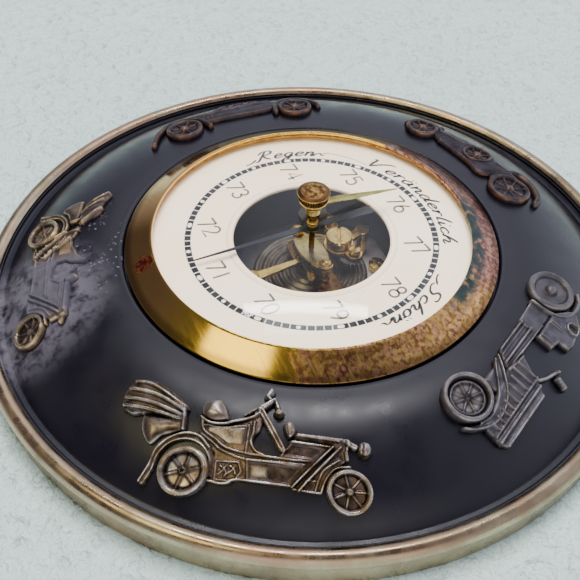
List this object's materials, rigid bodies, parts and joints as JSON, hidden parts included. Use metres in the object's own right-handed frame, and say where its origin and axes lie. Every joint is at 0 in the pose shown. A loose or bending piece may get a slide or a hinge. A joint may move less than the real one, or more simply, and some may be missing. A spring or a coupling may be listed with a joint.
{
  "type": "aneroid wall barometer",
  "caption": "Round aneroid wall barometer with a black convex ring carrying cast veteran cars, brass bezel, domed glass, dial window over the movement, and a set hand with a knurled knob",
  "frame": {"origin": "centre of the wall side, where the back lip of the rim meets the wall or table", "axes": "+Z out of the dial towards the reader, +Y towards 12 o'clock on the dial, +X towards 3 o'clock"},
  "size_m": [0.18, 0.18, 0.038],
  "materials": {
    "lacquer": "satin black lacquer, worn in places",
    "rim_brass": "brown tarnished brass with rubbed copper-coloured zones",
    "back_metal": "matt dark paint",
    "plated_steel": "plain steel",
    "relief_metal": "dark bronzed casting with rubbed edges",
    "bezel_brass": "polished brass, spotted with tarnish on one side",
    "clear_glass": "clear domed glass",
    "dial_paint": "cream paint with printed scale",
    "dark_plate": "dark slate grey plate",
    "nickel": "pale nickel plate",
    "capsule_metal": "silver grey corrugated sheet",
    "movement_brass": "turned and polished brass",
    "hand_enamel": "dark blued grey"
  },
  "bodies": {
    "case": {"case_body": "lacquer", "rim_ring": "rim_brass", "back_plate": "back_metal", "hanger_plate": "plated_steel", "hanger_rivet_left": "plated_steel", "hanger_rivet_right": "plated_steel", "back_screw_1": "plated_steel", "back_screw_2": "plated_steel", "back_screw_3": "plated_steel", "tourer_relief": "relief_metal", "saloon_relief": "relief_metal", "roadster_relief": "relief_metal", "limousine_relief": "relief_metal", "phaeton_relief": "relief_metal", "bezel_ring": "bezel_brass", "glass_dome": "clear_glass", "glass_spring_ring": "movement_brass", "dial_plate": "dial_paint", "movement_cup": "dark_plate", "base_plate": "dark_plate", "carrier_plate": "nickel", "carrier_screw": "movement_brass", "capsule_foot": "movement_brass", "aneroid_capsule": "capsule_metal", "lower_bridge": "movement_brass", "bridge_foot": "movement_brass", "bridge_pillar_left": "movement_brass", "bridge_pillar_right": "movement_brass", "top_bridge": "movement_brass", "bridge_screw": "movement_brass", "bridge_nut": "movement_brass", "top_bracket": "movement_brass", "bracket_post": "movement_brass", "spring_screw": "movement_brass", "trim_screw": "movement_brass", "bracket_stud": "movement_brass", "lock_washer": "plated_steel", "sector_post": "movement_brass", "rocker_stand_inner": "movement_brass", "rocker_stand_outer": "movement_brass", "glass_washer": "movement_brass", "glass_bush": "movement_brass"},
    "set_hand_unit": {"set_knob": "movement_brass", "set_hand": "movement_brass"},
    "pointer_unit": {"pointer_arbor": "plated_steel", "hand_collet": "movement_brass", "indicating_hand": "hand_enamel", "hairspring": "plated_steel"},
    "sector_unit": {"sector_lever": "movement_brass"},
    "rocker_unit": {"rocker_shaft": "movement_brass"},
    "capsule_post_unit": {"capsule_post": "movement_brass"},
    "adjusting_screw_unit": {"adjusting_screw": "movement_brass"}
  },
  "joints": [
    {"name": "set_hand_turn", "type": "hinge", "parent": "case", "child": "set_hand_unit", "pos_m": [0, 0, 0.0333], "axis": [0, 0, 1], "continuous": true},
    {"name": "pointer_turn", "type": "hinge", "parent": "case", "child": "pointer_unit", "pos_m": [0, 0, 0.0254], "axis": [0, 0, 1], "range_deg": [-290, 27]},
    {"name": "sector_turn", "type": "hinge", "parent": "case", "child": "sector_unit", "pos_m": [0, -0.0179, 0.014], "axis": [0, 0, 1], "range_deg": [-2.6, 26.5]},
    {"name": "rocker_turn", "type": "hinge", "parent": "case", "child": "rocker_unit", "pos_m": [-0.0036, -0.016, 0.0126], "axis": [0, 1, 0], "range_deg": [-2, 15]},
    {"name": "capsule_post_travel", "type": "slide", "parent": "case", "child": "capsule_post_unit", "axis": [0, 0, 1], "range_m": [-0.00095, 0.0001]},
    {"name": "adjusting_screw_turn", "type": "hinge", "parent": "case", "child": "adjusting_screw_unit", "pos_m": [0, -0.024, 0.0012], "axis": [0, 0, 1], "range_deg": [-360, 360]}
  ],
  "couplings": [
    {"joint": "sector_turn", "follows": "pointer_turn", "ratio": -0.090909},
    {"joint": "rocker_turn", "follows": "pointer_turn", "ratio": -0.05},
    {"joint": "capsule_post_travel", "follows": "pointer_turn", "m_per_rad": 0.000178}
  ]
}
